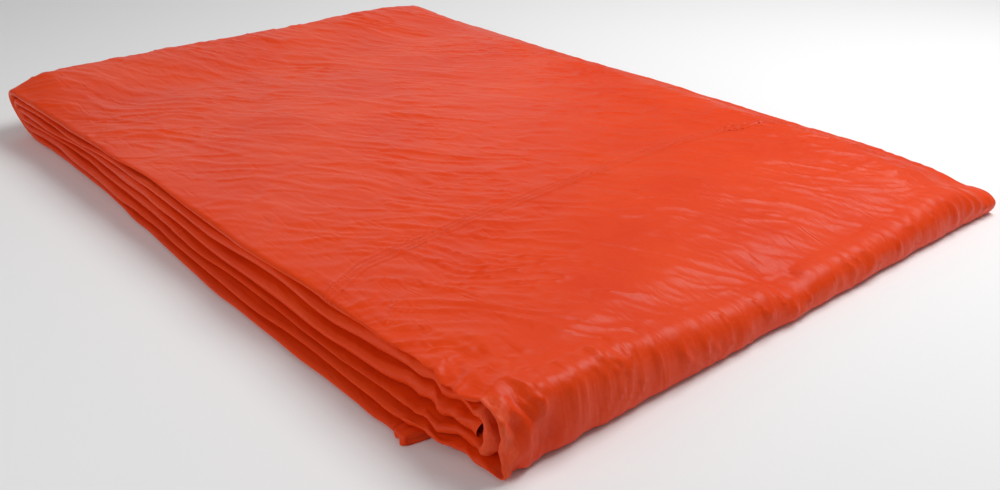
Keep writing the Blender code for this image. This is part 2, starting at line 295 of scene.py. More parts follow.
    def wrinkles(self, runs, y, part):
        """How far the outer side of a leaf stands out: broad swells, and the cloth's crinkles."""
        top = (part == TOP_LEAF) * 1.0
        rolls = ((part == MOVING_ROLL) | (part == FRONT_ROLL)) * 1.0
        u, v = runs, y
        along, across = u * 0.80 + v * 0.60, -u * 0.60 + v * 0.80
        bent = across + 0.018 * drift(along / 0.11, across / 0.10, 11)
        patches = smooth(0.5 + 1.3 * drift(u / 0.14, v / 0.12, 51))
        far = smooth((v - 0.1) / 0.3)
        lying = np.interp(u - LEFT_RUN, (0.77, 0.87, 0.97, 1.01), (-0.425, -0.423, -0.424, -0.40))
        long_crease = 0.0012 * bell(v - lying, 0.0035)
        long_crease = long_crease * smooth((u - LEFT_RUN - 0.76) / 0.05)
        swells = top * 0.0010 * drift(along / 0.12, bent / 0.034, 21)
        flat = 0.0019 * (creases(along / 0.075, bent / 0.017, 31, 6) - 0.20)
        flat = flat + 0.0019 * (crumples(along / 0.046, bent / 0.018, 38) - 0.4)
        second = 0.0011 * (creases(along / 0.032, bent / 0.009, 36, 6) - 0.20)
        flat = (0.6 + 0.4 * patches) * flat + (0.4 + 0.6 * far) * second
        flat = flat * (1 + 0.5 * smooth((mid_of(u) - 0.22) / 0.20)) + long_crease
        flat = flat + self.puckers(mid_of(runs), y)
        sharp = np.where(part == FRONT_ROLL, 1.0, 0.3)
        lines = v / 0.014 + 0.7 * drift(u / 0.03, v / 0.05, 62)
        turn = 0.0034 * (creases(u / 0.070, lines, 61, 5) - 0.2)
        turn = sharp * (turn + 0.0020 * (crumples(u / 0.040, v / 0.016, 64) - 0.4))
        swells = swells + rolls * 0.0009 * drift(u / 0.08, v / 0.030, 63)
        others = 0.0007 * drift(u / 0.05, v / 0.03, 81) + 0.0006 * creases(u / 0.09, v / 0.012, 82)
        blend = smooth((u - LEFT_RUN + 0.02) / 0.03) * smooth((RIGHT_RUN - u + 0.02) / 0.03)
        at_front = u > LEFT_RUN + 0.3
        crinkles = np.where(top > 0, flat * blend + turn * (1 - blend) * at_front, 0)
        crinkles = crinkles + rolls * turn + (1 - top - rolls) * others
        return swells, crinkles

    def heights(self, x, y, z, part, fold_side, hems):
        """The height of each place once the stack has settled."""
        share = z / STACK
        stepped = np.zeros_like(share)
        lower = np.zeros_like(x)
        for level in range(LEAVES):
            last = level == LEAVES - 1
            upper = np.ones_like(x) if last else np.interp(x, BAND_X, BAND_SHARES[level])
            stepped += (upper - lower) * np.clip(LEAVES * share - level, 0, 1)
            lower = upper
        stepped += np.maximum(share - 1, 0) + np.minimum(share, 0)
        share = share + (stepped - share) * fold_side
        past_end = smooth((x - OUTER_END_X) / (RIGHT_X - OUTER_END_X))
        plump = 1 - smooth((y - FOLD_Y) / 0.35)
        drop = np.where(part < TOP_LEAF, 0.0, (PITCH - 0.0008) * past_end)
        height = share * STACK
        height = height - drop * (1 - plump * smooth(height / STACK))
        edge = 1 - (EDGE_LOSS + 0.06 * past_end) * hems
        reach = 1 - smooth((x - LEFT_X) / SWELL_LENGTH)
        from_fold = smooth((y - FOLD_Y) / SWELL_FADE)
        swell = SWELL / STACK * reach * from_fold * (1 - hems)
        waves = 0.018 * drift(x / 0.19 + 3, y / 0.16, 91) + 0.012 * drift(x / 0.07, y / 0.09, 92)
        slump = 0.34 * smooth((x - 0.34) / 0.24) * smooth((y + 0.34) / 0.42)
        slump = slump * (1 - 0.55 * smooth((y - 0.22) / 0.18))
        height = height * edge * (1 + swell + waves) * (1 - slump)
        near = bell(y - PINCH[1], 0.035) * smooth((x - 0.50) / 0.09)
        return height * (1 - 0.20 * near)

    def puckers(self, x, y):
        """Creases that run into the place where the roll at +X is pulled down to the floor."""
        away_x, away_y = x - PINCH[0], y - PINCH[1]
        away = np.hypot(away_x, away_y) + 1e-6
        turned = np.arctan2(away_y, -away_x)
        lobes = creases(turned * 3.4 + 2.0, away / 0.12, 121, 5) - 0.15
        reach = smooth(away / 0.03) * (1 - smooth((away - 0.05) / 0.09))
        favoured = 0.35 + 0.65 * smooth((0.6 - turned) / 0.9)
        return 0.0040 * lobes * reach * favoured

    def lean(self, x, y, z):
        """How the whole stack leans: the loose roll at -X flares out, the one at +X squats."""
        share = z / STACK
        flare = smooth((-0.40 - x) / 0.20) * share * (1 - 0.6 * smooth((y - 0.30) / 0.15))
        back = smooth((x - 0.52) / 0.07) * smooth((y + 0.36) / 0.30) * share * share
        squat = smooth((x - 0.50) / 0.08) * np.clip(1 - share, 0, 1)
        near_seam = smooth((x + 0.15) / 0.40) * (1 - smooth((x - 0.30) / 0.24))
        bend = np.interp(y, SEAM_BEND_Y, SEAM_BEND_X) * near_seam
        y_lean = -0.012 * flare * (1 - smooth((y - FOLD_Y) / 0.25))
        x = x - 0.030 * flare + 0.008 * squat - 0.016 * back + bend
        return x, y + y_lean, z + 0.007 * flare * share

    def strays(self, x, y, part, runs):
        """How far each leaf strays sideways."""
        fade = 1 - smooth((y - FOLD_Y) / (0.6 * WIDTH))
        run = (x - LEFT_X) / (OUTER_END_X - LEFT_X)
        skew = -0.028 * smooth((run - 0.20) / 0.5)
        wide = smooth((run - 0.20) / 0.5) * (1 - smooth((run - 0.96) / 0.12)) * fade
        ends = smooth((x - LEFT_X) / 0.06) * smooth((RIGHT_X - x) / 0.06)
        wander = 0.0035 * drift(x / 0.12, 7.3 * part, 101) * ends
        lip = smooth((STRAIGHT_Y + LIP_REACH - y) / LIP_REACH)
        ruffle = 0.0014 * drift(runs / 0.055, 3.1 * part, 102) * lip
        at_hems = 0.004 * drift(x / 0.2, 5.7 * part, 103) * smooth((y - HEM_Y + 0.2) / 0.2)
        lower = -0.019 * (part == LEAF_4) - 0.008 * (part == LEAF_3) - 0.003 * (part == LEAF_2)
        lower = lower * wide
        return np.where(part == END_LEAF, skew * fade, wander * fade) + lower + ruffle + at_hems

    def crumple(self, x, y, z, corner, skin):
        """The crushed corner where the roll at +X meets the half-fold."""
        dx = 0.004 * drift(y / 0.030, z / 0.034, 111) * corner
        dy = 0.004 * drift(x / 0.040, z / 0.026, 112) * corner + 0.012 * corner * (1 - skin)
        dz = 0.004 * drift(x / 0.036, y / 0.034, 113) * corner * smooth(z / 0.02)
        crush = skin * corner
        folds = crumples(x / 0.030 + y / 0.06, z / 0.026 + x / 0.09, 114) - 0.4
        dents = crumples(x / 0.030, y / 0.028 + x / 0.08, 115) - 0.4
        small = crumples(x / 0.013 + z / 0.02, y / 0.013 + z / 0.015, 116) - 0.4
        dx = dx + crush * (0.010 * (crumples(y / 0.026, z / 0.040, 117) - 0.4) + 0.0024 * small)
        dy = dy + crush * (0.011 * folds + 0.0026 * small)
        dz = dz + crush * np.maximum(0.011 * dents + 0.0028 * small, -0.003) * smooth(z / 0.02)
        return x + dx, y + dy, z + dz


def mid_of(runs):
    """Where runs on the top leaf lie along X."""
    return LEFT_X + runs - LEFT_RUN


LEFT_RUN = OUTER_END_X - LEFT_X + math.pi * 2.5 * PITCH  # where the top leaf begins
RIGHT_RUN = LEFT_RUN + RIGHT_X - LEFT_X  # and where it ends
PINCH = (PACK_HIGH.x + 0.004, 0.012)
STRIP = Strip()
FIRST_SEAM = STRIP.starts[2] + 0.5 * (SEAM_LOW.x + SEAM_HIGH.x) - LEFT_X
LATER = (STRIP.length - FIRST_SEAM) / 3  # the length of each later panel
SEAM_RUNS = [FIRST_SEAM + LATER * number for number in range(3)]


def srgb(text):
    """A colour given as sRGB hex, as linear light."""
    values = [int(text[i : i + 2], 16) / 255 for i in (1, 3, 5)]
    linear = [v / 12.92 if v <= 0.04045 else ((v + 0.055) / 1.055) ** 2.4 for v in values]
    return (*linear, 1.0)


def add_node(tree, kind, links=(), **settings):
    """Add a node, set its properties and sockets, and link its inputs."""
    node = tree.nodes.new(kind)
    for name, value in settings.items():
        if name.startswith("in_"):
            key = name[3:]
            node.inputs[int(key) if key.isdigit() else key.replace("_", " ")].default_value = value
        else:
            setattr(node, name, value)
    for name, source in dict(links).items():
        tree.links.new(source, node.inputs[name])
    return node


def bump(tree, height, strength, distance, under=None):
    """A bump of some metres, on top of another one if there is one under it."""
    links = {"Height": height, "Normal": under} if under else {"Height": height}
    settings = {"in_Strength": strength, "in_Distance": distance}
    return add_node(tree, "ShaderNodeBump", links, **settings).outputs[0]


def new_material(name):
    """An empty node material and its node tree."""
    material = bpy.data.materials.get(name) or bpy.data.materials.new(name)
    material.use_nodes = True
    material.node_tree.nodes.clear()
    return material, material.node_tree


def coated_weave(name, light, deep, worn, roughness, crinkle):
    """Laminated polyethylene tape weave, calendered and then crushed by folding.

    The eye gets a soft plastic gloss that breaks up on hundreds of small crinkles, a faint square
    grid of tapes under the film, a slightly paler film where folds have rubbed it, and a haze at
    grazing angles.
    """
    material, tree = new_material(name)
    place = add_node(tree, "ShaderNodeAttribute", attribute_name="cloth_place").outputs["Vector"]
    wear = add_node(tree, "ShaderNodeAttribute", attribute_name="fold_wear").outputs["Fac"]
    split = add_node(tree, "ShaderNodeSeparateXYZ", {"Vector": place})
    tape = 2 * math.pi / 0.0024  # tapes 2.4 mm apart, coarser than real ones so that they show
    waves = []
    for axis in ("X", "Y"):
        turned = add_node(tree, "ShaderNodeMath", {0: split.outputs[axis]}, operation="MULTIPLY",
                          in_1=tape)
        waves.append(add_node(tree, "ShaderNodeMath", {0: turned.outputs[0]}, operation="SINE"))
    grid = add_node(tree, "ShaderNodeMath", {0: waves[0].outputs[0], 1: waves[1].outputs[0]},
                    operation="MULTIPLY")
    turn = add_node(tree, "ShaderNodeMapping", {"Vector": place}, in_Rotation=(0, 0, -0.64),
                    in_Scale=(24, 85, 60))  # crinkles about 42 mm long and 12 mm apart
    crinkles = add_node(tree, "ShaderNodeTexNoise", {"Vector": turn.outputs[0]}, in_Scale=1.0,
                        in_Detail=2.5, in_Roughness=0.5, in_Distortion=0.7,
                        noise_type="RIDGED_MULTIFRACTAL")
    facets = add_node(tree, "ShaderNodeTexVoronoi", {"Vector": place}, feature="F1",
                      in_Scale=70.0, in_Randomness=1.0)  # facets about 14 mm across
    blotch = add_node(tree, "ShaderNodeTexNoise", {"Vector": place}, in_Scale=7.0, in_Detail=4.0,
                      in_Roughness=0.55)
    scuff = add_node(tree, "ShaderNodeTexNoise", {"Vector": place}, in_Scale=180.0, in_Detail=4.0,
                     in_Roughness=0.7)
    tone = add_node(tree, "ShaderNodeMapRange", {"Value": blotch.outputs["Fac"]}, in_1=0.3,
                    in_2=0.7)
    base = add_node(tree, "ShaderNodeMix", {"Factor": tone.outputs[0]}, data_type="RGBA",
                    in_6=deep, in_7=light)
    rubbed = add_node(tree, "ShaderNodeMath", {0: wear, 1: scuff.outputs["Fac"]},
                      operation="MULTIPLY")
    rubbed = add_node(tree, "ShaderNodeMapRange", {"Value": rubbed.outputs[0]}, in_1=0.30,
                      in_2=0.75, in_3=0.0, in_4=0.55)
    colour = add_node(tree, "ShaderNodeMix", {"Factor": rubbed.outputs[0], 6: base.outputs[2]},
                      data_type="RGBA", in_7=worn)
    rough = add_node(tree, "ShaderNodeMapRange", {"Value": crinkles.outputs["Fac"]}, in_1=0.3,
                     in_2=0.7, in_3=roughness - 0.07, in_4=roughness + 0.10)
    bumps = bump(tree, crinkles.outputs["Fac"], crinkle, 0.0012)
    bumps = bump(tree, facets.outputs["Distance"], 0.22, 0.0012, bumps)
    bumps = bump(tree, grid.outputs[0], 0.10, 0.0002, bumps)
    shader = add_node(tree, "ShaderNodeBsdfPrincipled", {"Base Color": colour.outputs[2],
                      "Roughness": rough.outputs[0], "Normal": bumps},
                      in_IOR=1.5, in_Metallic=0.0, in_Specular_IOR_Level=0.16,
                      in_Sheen_Weight=0.02, in_Sheen_Roughness=0.45,
                      in_Sheen_Tint=srgb("#ffd9cf"))
    add_node(tree, "ShaderNodeOutputMaterial", {"Surface": shader.outputs[0]})
    return material


def closed_cell_foam(name, pale):
    """White closed-cell polyethylene foam, cut from a block: chalky, with fine round cells."""
    material, tree = new_material(name)
    place = add_node(tree, "ShaderNodeAttribute", attribute_name="cloth_place").outputs["Vector"]
    cells = add_node(tree, "ShaderNodeTexVoronoi", {"Vector": place}, feature="F1", in_Scale=700.0)
    tone = add_node(tree, "ShaderNodeMapRange", {"Value": cells.outputs["Distance"]}, in_1=0.0,
                    in_2=0.8, in_3=1.0, in_4=0.0)
    colour = add_node(tree, "ShaderNodeMix", {"Factor": tone.outputs[0]}, data_type="RGBA",
                      in_6=srgb("#dcdcd6"), in_7=pale)
    bumps = bump(tree, cells.outputs["Distance"], 0.4, 0.0006)
    shader = add_node(tree, "ShaderNodeBsdfPrincipled", {"Base Color": colour.outputs[2],
                      "Normal": bumps}, in_Roughness=0.85, in_IOR=1.5)
    add_node(tree, "ShaderNodeOutputMaterial", {"Surface": shader.outputs[0]})
    return material


def bonded_thread(name, light, deep):
    """Bonded polyester sewing thread, twisted, with a dull waxed shine and painted shade in the
    grooves between its twists.
    """
    material, tree = new_material(name)
    place = add_node(tree, "ShaderNodeAttribute", attribute_name="cloth_place").outputs["Vector"]
    twist = add_node(tree, "ShaderNodeTexWave", {"Vector": place}, in_Scale=420.0,
                     bands_direction="DIAGONAL")  # one twist in about 0.7 mm
    # deep is painted shade: the thread's colour is darkened in the grooves between its twists
    colour = add_node(tree, "ShaderNodeMix", {"Factor": twist.outputs["Fac"]}, data_type="RGBA",
                      in_6=deep, in_7=light)
    bumps = bump(tree, twist.outputs["Fac"], 0.5, 0.0002)
    shader = add_node(tree, "ShaderNodeBsdfPrincipled", {"Base Color": colour.outputs[2],
                      "Normal": bumps}, in_Roughness=0.55, in_IOR=1.5)
    add_node(tree, "ShaderNodeOutputMaterial", {"Surface": shader.outputs[0]})
    return material


def pale_paper(name):
    """A seamless paper sweep, matt with a faint tooth."""
    material, tree = new_material(name)
    place = add_node(tree, "ShaderNodeTexCoord").outputs["Object"]
    tooth = add_node(tree, "ShaderNodeTexNoise", {"Vector": place}, in_Scale=300.0, in_Detail=3.0)
    bumps = bump(tree, tooth.outputs["Fac"], 0.05, 0.0003)
    shader = add_node(tree, "ShaderNodeBsdfPrincipled", {"Normal": bumps}, in_Roughness=0.9)
    shader.inputs["Base Color"].default_value = srgb("#f4f4f4")
    add_node(tree, "ShaderNodeOutputMaterial", {"Surface": shader.outputs[0]})
    return material


def mesh_object(name, material, points, quads, places, wear):
    """A smooth-shaded mesh object with its places on the cloth and its wear."""
    mesh = bpy.data.meshes.new(name)
    mesh.from_pydata(points.reshape(-1, 3).tolist(), [], quads.tolist())
    mesh.polygons.foreach_set("use_smooth", [True] * len(mesh.polygons))
    layer = mesh.attributes.new("cloth_place", "FLOAT_VECTOR", "POINT")
    layer.data.foreach_set("vector", places.astype(np.float32).ravel())
    layer = mesh.attributes.new("fold_wear", "FLOAT", "POINT")
    layer.data.foreach_set("value", wear.astype(np.float32).ravel())
    mesh.materials.append(material)
    mesh.update()
    piece = bpy.data.objects.new(name, mesh)
    bpy.context.scene.collection.objects.link(piece)
    return piece


def set_normals(piece, wide):
    """Shade a grid by the normals of a wider grid, so that it meets the next piece unseen."""
    along, across = np.gradient(wide, axis=0), np.gradient(wide, axis=1)
    normals = np.cross(along, across)[1:-1]
    normals = normals / np.maximum(np.linalg.norm(normals, axis=-1, keepdims=True), 1e-12)
    piece.data.normals_split_custom_set_from_vertices(normals.reshape(-1, 3).tolist())


def grid_quads(rows, columns, closed=False):
    """The quads of a grid of points, joined round its columns if it is closed."""
    across = np.arange(columns if closed else columns - 1)
    row, column = np.meshgrid(np.arange(rows - 1), across, indexing="ij")
    after = (column + 1) % columns
    corners = [row * columns + column, row * columns + after, (row + 1) * columns + after,
               (row + 1) * columns + column]
    return np.stack([c.ravel() for c in corners], axis=-1)[:, ::-1]


def fold_line(hem_y, depth, outer_step, inner_count, lip_steps, recess=0.0):
    """Places across the folded strip: y, offset and flat distance across the cloth.

    They go from the hem along the outer half, round the lip and back along the inner half. recess
    is how far the lip lies inside the cover's.
    """
    reach = HALF - depth
    straight_y = STRAIGHT_Y + recess
    fine_y = straight_y + 0.12 if outer_step > 0.008 else straight_y
    outer_count = max(2, int(round((hem_y - fine_y) / outer_step)) + 1)
    ys = list(np.linspace(hem_y, fine_y, outer_count))
    if outer_step > 0.008:  # every layer follows the pull at the pinch
        ys = sorted({*ys, *np.linspace(PINCH[1] - 0.08, PINCH[1] + 0.08, 17)}, reverse=True)
    if fine_y > straight_y:
        ys += list(np.linspace(fine_y, straight_y, 17)[1:])
    offsets = [reach] * len(ys)
    for step in range(1, lip_steps):
        angle = math.pi * step / lip_steps
        ys.append(straight_y - 1.05 * reach * math.sin(angle))
        offsets.append(reach * math.cos(angle))
    inner = straight_y + (hem_y - straight_y) * np.linspace(0, 1, inner_count) ** 1.6
    inner = sorted({*inner, *np.linspace(PINCH[1] - 0.09, PINCH[1] + 0.09, 13)})
    ys += inner
    offsets += [-reach] * len(inner)
    ys, offsets = np.array(ys), np.array(offsets)
    across = np.concatenate([[0], np.cumsum(np.hypot(np.diff(ys), np.diff(offsets)))])
    return ys, offsets, across - across[-1] / 2


def runs_between(start, end, step_on):
    """Runs from start to end, with a step that depends on the part of the strip."""
    found = [start]
    for index, begin in enumerate(STRIP.starts[:-1]):
        low, high = max(start, begin), min(end, begin + STRIP.lengths[index])
        if high - low > 1e-6:
            count = max(1, int(math.ceil((high - low) / step_on(index))))
            found += list(np.linspace(low, high, count + 1)[1:])
    if step_on(END_LEAF) > 0.008:  # the crushed corner at +X needs a fine step in every layer
        runs = np.array(found)
        near = STRIP.place(0.5 * (runs[1:] + runs[:-1]))[0] > 0.40
        long = near & (np.diff(runs) > 0.009)
        between = [runs[:-1][long] + np.diff(runs)[long] * share for share in (1 / 3, 2 / 3)]
        found = np.sort(np.concatenate([runs, *between]))
    return np.array(found)


def wear_of(runs, ys):
    """Where folds rub: along the half-fold's lip and over the rolled ends."""
    turned = np.isin(STRIP.place(runs)[4], ROLLS) * 0.6
    lip = 0.45 * (1 - smooth((ys - STRAIGHT_Y) / 0.012))
    return np.clip(turned[:, None] + lip[None, :], 0, 1)


def cloth_sheet(name, material, span, depth, step_on, outer_step, inner_count, lip_steps=10,
                hem_y=None, rise=None):
    """One surface of the folded strip, depth metres inside its outer face.

    rise says how far each run of it stands proud, as a rule of the share from start to end.
    """
    hem_y = HEM_Y - HEM_WIDTH + SEAM_LAP if hem_y is None else hem_y
    ys, offsets, across = fold_line(hem_y, depth, outer_step, inner_count, lip_steps)
    runs = runs_between(*span, step_on)
    share = (runs - span[0]) / (span[1] - span[0])
    proud = rise(share)[:, None] if rise else 0.0
    skin = 0.0 if depth > FOAM_DEPTH else 1.0
    points = STRIP.settle(runs, ys, offsets, proud, skin)
    before, after = 2 * runs[:1] - runs[1:2], 2 * runs[-1:] - runs[-2:-1]
    wide_runs = np.concatenate([before, runs, after])
    if span[0] == 0.0:  # the outer end is closed by its turned-in edge
        turned = [STRIP.settle(runs[:1], ys, offsets * part) for part in (0.02, 0.4, 0.7, 0.9)]
        points = np.concatenate([*turned, points])
        runs = np.concatenate([-0.001 * np.array([7, 5, 3, 1]), runs])
    places = np.stack(np.broadcast_arrays(runs[:, None], across[None, :], 0.0), axis=-1)
    quads = grid_quads(len(runs), len(ys))
    piece = mesh_object(name, material, points, quads, places, wear_of(runs, ys))
    if rise is None:
        set_normals(piece, STRIP.settle(wide_runs, ys, offsets, 0.0, skin))
    return piece


def foam_sheet(name, material, span, thickness):
    """A closed slab of foam in the folded strip."""
    hem_y = HEM_Y - HEM_WIDTH
    ys, offsets, across = fold_line(hem_y, FOAM_DEPTH, COVERED_STEP, 16, 8, FOAM_RECESS)
    inner_ys, inner_offsets = fold_line(hem_y, FOAM_DEPTH + thickness, COVERED_STEP, 16, 8,
                                        FOAM_RECESS)[:2]
    ring_ys = np.concatenate([ys, inner_ys[::-1]])
    ring_offsets = np.concatenate([offsets, inner_offsets[::-1]])
    ring_across = np.concatenate([across, across[::-1]])
    runs = runs_between(*span, coarse_step)
    points = STRIP.settle(runs, ring_ys, ring_offsets, skin=0.0)
    places = np.stack(np.broadcast_arrays(runs[:, None], ring_across[None, :], 0.0), axis=-1)
    count = len(ring_ys)
    quads = [grid_quads(len(runs), count, closed=True)]
    for row, flip in ((0, False), (len(runs) - 1, True)):
        near = np.arange(len(ys) - 1)
        cap = np.stack([near, near + 1, count - 2 - near, count - 1 - near], axis=-1)
        cap = cap + row * count
        quads.append(cap[:, ::-1] if flip else cap)
    wear = np.zeros((len(runs), count))
    return mesh_object(name, material, points, np.concatenate(quads), places, wear)


def hem_band(name, material, span, side):
    """The hem along one long edge: the cloth turned over and sewn down, with a rolled edge.

    side is 1 on the outer half of the folded strip, and -1 on the inner half.
    """
    near, far = side * HALF, side * 0.0004
    edge, count, edge_steps = 0.003, 9, 6
    flat = np.linspace(HEM_Y - HEM_WIDTH, HEM_Y - edge, count)
    ys = list(flat)
    offsets = [near * 1.03] * 2 + [near] * (count - 2)
    for step in range(1, edge_steps):
        angle = math.pi * step / edge_steps
        ys.append(HEM_Y - edge + edge * math.sin(angle))
        offsets.append(0.5 * (near + far) + 0.5 * (near - far) * math.cos(angle))
    ys += list(flat[::-1])
    offsets += [far] * count
    ys, offsets = np.array(ys), np.array(offsets)
    across = np.concatenate([[0], np.cumsum(np.hypot(np.diff(ys), np.diff(offsets)))])
    runs = runs_between(*span, rolled_step)
    points = STRIP.settle(runs, ys, offsets)
    places = np.stack(np.broadcast_arrays(runs[:, None], across[None, :], 0.3), axis=-1)
    quads = grid_quads(len(runs), len(ys))
    quads = quads if side > 0 else quads[:, ::-1]
    wear = np.broadcast_to(smooth((ys - HEM_Y + 0.008) / 0.008)[None, :], points.shape[:2])
    return mesh_object(name, material, points, quads, places, wear)


def seam_stitches(name, sewn, runs, ys, sides):
    """Rows of lockstitch. One of runs and ys is the places of the rows, the other their extent.

    sewn is the thread's material, the length of a stitch and half the width of the thread.
    """
    material, stitch, half_width = sewn
    along_y = isinstance(ys, tuple)
    low, high = ys if along_y else runs
    count = int((high - low) / stitch)
    starts = low + stitch * np.arange(count)
    along = (starts[:, None] + stitch * np.array([0.10, 0.24, 0.50, 0.76, 0.90])).ravel()
    lift = np.tile([0.0, 0.75, 1.0, 0.75, 0.0], count)
    width = half_width * np.array([-1.0, -0.6, 0.0, 0.6, 1.0])
    round_off = np.array([0.0, 0.8, 1.0, 0.8, 0.0])
    rings = len(round_off)
    meshes, faces, total = [], [], 0
    for row in runs if along_y else ys:
        for side in sides:
            grid = np.outer(round_off, lift) if along_y else np.outer(lift, round_off)
            proud = half_width * 1.1 * grid + 0.0002
            row_runs, row_ys = (row + width, along) if along_y else (along, row + width)
            points = STRIP.settle(row_runs, row_ys, np.full(len(row_ys), side * HALF), proud)
            if not along_y:
                points = points.transpose(1, 0, 2)
            meshes.append(points.reshape(-1, 3))
            columns = len(along)
            quads = grid_quads(len(width), columns)
            between = (quads.min(axis=1) % columns) % rings == rings - 1  # from stitch to stitch
            quads = quads[~between]
            faces.append((quads if along_y == (side > 0) else quads[:, ::-1]) + total)
            total += points.shape[0] * points.shape[1]
    points, faces = np.concatenate(meshes), np.concatenate(faces)
    return mesh_object(name, material, points, faces, points, np.zeros(len(points)))


def lap_rise(share):
    """A lapped seam: one raised edge, and two sewn furrows 8 mm apart."""
    body = 0.0003 * smooth(share / 0.12) * smooth((1 - share) / 0.12)
    furrows = sum(bell((share - at) * SEAM_WIDTH, 0.0012) for at in (0.33, 0.67))
    return body - 0.0005 * furrows


def rolled_hem_rise(share):
    """A turned hem: a thick rolled edge, a furrow where it is sewn, and a thinner second turn."""
    roll = 0.0034 * bell(share - 0.18, 0.17)
    second = 0.0030 * bell(share - 0.64, 0.17)
    return roll + second - 0.0010 * bell(share - 0.92, 0.04)


def fine_step(part):
    """The step along a part of the strip: fine where the cloth shows, coarse where it doesn't."""
    steps = {END_LEAF: 0.014, MOVING_ROLL: ROLL_STEP, TOP_LEAF: 0.0042, FRONT_ROLL: ROLL_STEP,
             LEAF_4: 0.012}
    return steps.get(part, 0.008)


def coarse_step(part):
    """The step along a part of the strip for layers that are covered."""
    return ROLL_STEP if part in ROLLS else COVERED_STEP


def rolled_step(part):
    """The step along a part of the strip for cloth that shows only at its folds and ends."""
    return ROLL_STEP if part in ROLLS and part != MOVING_ROLL else 0.0075


def hold(piece, body):
    """Let a piece ride on a body, or bake its transform into it if it has none."""
    if body:
        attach(piece, body)
    else:
        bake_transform(piece)


ROLL_SPAN = (STRIP.starts[MOVING_ROLL], STRIP.starts[TOP_LEAF])
ROLL_FOAM_START = 0.055  # how far along the moving roll its foam starts
PANEL_STARTS = [seam + SEAM_WIDTH / 2 - SEAM_LAP for seam in SEAM_RUNS]
PANEL_ENDS = [seam - SEAM_WIDTH / 2 + SEAM_LAP for seam in SEAM_RUNS]
# The pieces of each layer, with their spans along the strip and the bodies that they ride on. The
# outer panel lies on the floor, turns up round the roll at -X and comes back on top.
FIRST_PARTS = (
    ("end_leaf", (HEM_WIDTH - SEAM_LAP, ROLL_SPAN[0]), "end_leaf"),
    ("first_roll", ROLL_SPAN, None),
    ("top_leaf", (ROLL_SPAN[1], PANEL_ENDS[0]), "rolled_pack"),
)
LATER_PARTS = (
    ("panel_2", (PANEL_STARTS[0], PANEL_ENDS[1]), "rolled_pack"),
    ("panel_3", (PANEL_STARTS[1], PANEL_ENDS[2]), "rolled_pack"),
    ("panel_4", (PANEL_STARTS[2], STRIP.length - HEM_WIDTH + SEAM_LAP), "rolled_pack"),
)
HEM_PARTS = (
    ("end_leaf", (0.0, ROLL_SPAN[0]), "end_leaf"),
    ("first_roll", ROLL_SPAN, None),
    ("pack", (ROLL_SPAN[1], STRIP.length), "rolled_pack"),
)


def colour(name, description, text):
    """A colour that a user would change, with its default as sRGB hex."""
    return FloatVectorProperty(name=name, description=description, subtype="COLOR", size=4,
                               min=0.0, max=1.0, default=srgb(text))


class QuiltColours(bpy.types.PropertyGroup):
    """Colours that a user would change."""

    cover: colour("Cover", "Colour of the cover", "#ea4409")
    cover_deep: colour("Cover Deep", "Darker patches of the cover", "#e23a04")
    cover_worn: colour("Cover Worn", "Film of the cover where folds have rubbed it", "#f07450")
    lining: colour("Lining", "Colour of the lining", "#d43c06")
    lining_deep: colour("Lining Deep", "Darker patches of the lining", "#c93304")
    thread: colour("Thread", "Colour of the sewing thread", "#ea4a1c")
    # thread_groove_shade is painted shade, the colour laid in the grooves between the thread's
    # twists
    thread_groove_shade: colour("Thread Deep", "Thread between its twists", "#cc3606")
    foam: colour("Foam", "Colour of the padding", "#f2f2ee")


class QuiltSizes(bpy.types.PropertyGroup):
    """Sizes that a user would change."""

    stitch: FloatProperty(name="Stitch", description="Length of one stitch", unit="LENGTH",
                          default=0.0042, min=0.002, max=0.02)
    thread: FloatProperty(name="Thread", description="Half the width of the thread",
                          unit="LENGTH", default=0.0006, min=0.0001, max=0.002)
    foam: FloatProperty(name="Foam", description="Thickness of one layer of padding",
                        unit="LENGTH", default=0.0030, min=0.001, max=0.003)


def cover_material(context, name="laminated_tape_weave", roughness=0.46, crinkle=0.8):
    """The cover's weave in the colours that are set."""
    chosen = context.scene.quilt_colours
    return coated_weave(name, chosen.cover, chosen.cover_deep, chosen.cover_worn, roughness,
                        crinkle)


class QUILT_OT_covers(bpy.types.Operator):
    """Make the cover of every panel"""

    bl_idname = "quilt.covers"
    bl_label = "Covers"

    def execute(self, context):
        cover = cover_material(context)
        for parts, *steps in (
            (FIRST_PARTS, fine_step, SHOWN_STEP, 40),
            (LATER_PARTS[:1], fine_step, SHOWN_STEP, 14),  # this one starts on the top leaf
            (LATER_PARTS[1:], rolled_step, HIDDEN_STEP, 14),
        ):
            for part, span, body in parts:
                piece = cloth_sheet(f"cover_{part}_cloth", cover, span, 0.0, *steps)
                if body:
                    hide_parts(f"cover_{part}")
                hold(piece, body)
        return {"FINISHED"}


class QUILT_OT_padding(bpy.types.Operator):
    """Make the foam between cover and lining"""

    bl_idname = "quilt.padding"
    bl_label = "Padding"

    def execute(self, context):
        foam = closed_cell_foam("closed_cell_polyethylene_foam", context.scene.quilt_colours.foam)
        thickness = context.scene.quilt_sizes.foam
        for part, span, body in FIRST_PARTS + LATER_PARTS:
            if body is None:
                # It starts past the place where the sheet folds over as the first turn unrolls.
                span = (span[0] + ROLL_FOAM_START, span[1])
            piece = foam_sheet(f"padding_{part}_foam", foam, span, thickness)
            if body:
                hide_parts(f"padding_{part}")
            hold(piece, body)
        return {"FINISHED"}


class QUILT_OT_linings(bpy.types.Operator):
    """Make the lining, which the half-fold hides"""

    bl_idname = "quilt.linings"
    bl_label = "Linings"

    def execute(self, context):
        chosen = context.scene.quilt_colours
        lining = coated_weave("laminated_tape_weave_inside", chosen.lining, chosen.lining_deep,
                              chosen.lining, 0.48, 0.35)
        for part, span, body in FIRST_PARTS + LATER_PARTS:
            piece = cloth_sheet(f"lining_{part}_cloth", lining, span, LINING_DEPTH, coarse_step,
                                HIDDEN_STEP, 14, 4)
            if body:
                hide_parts(f"lining_{part}")
            hold(piece, body)
        return {"FINISHED"}


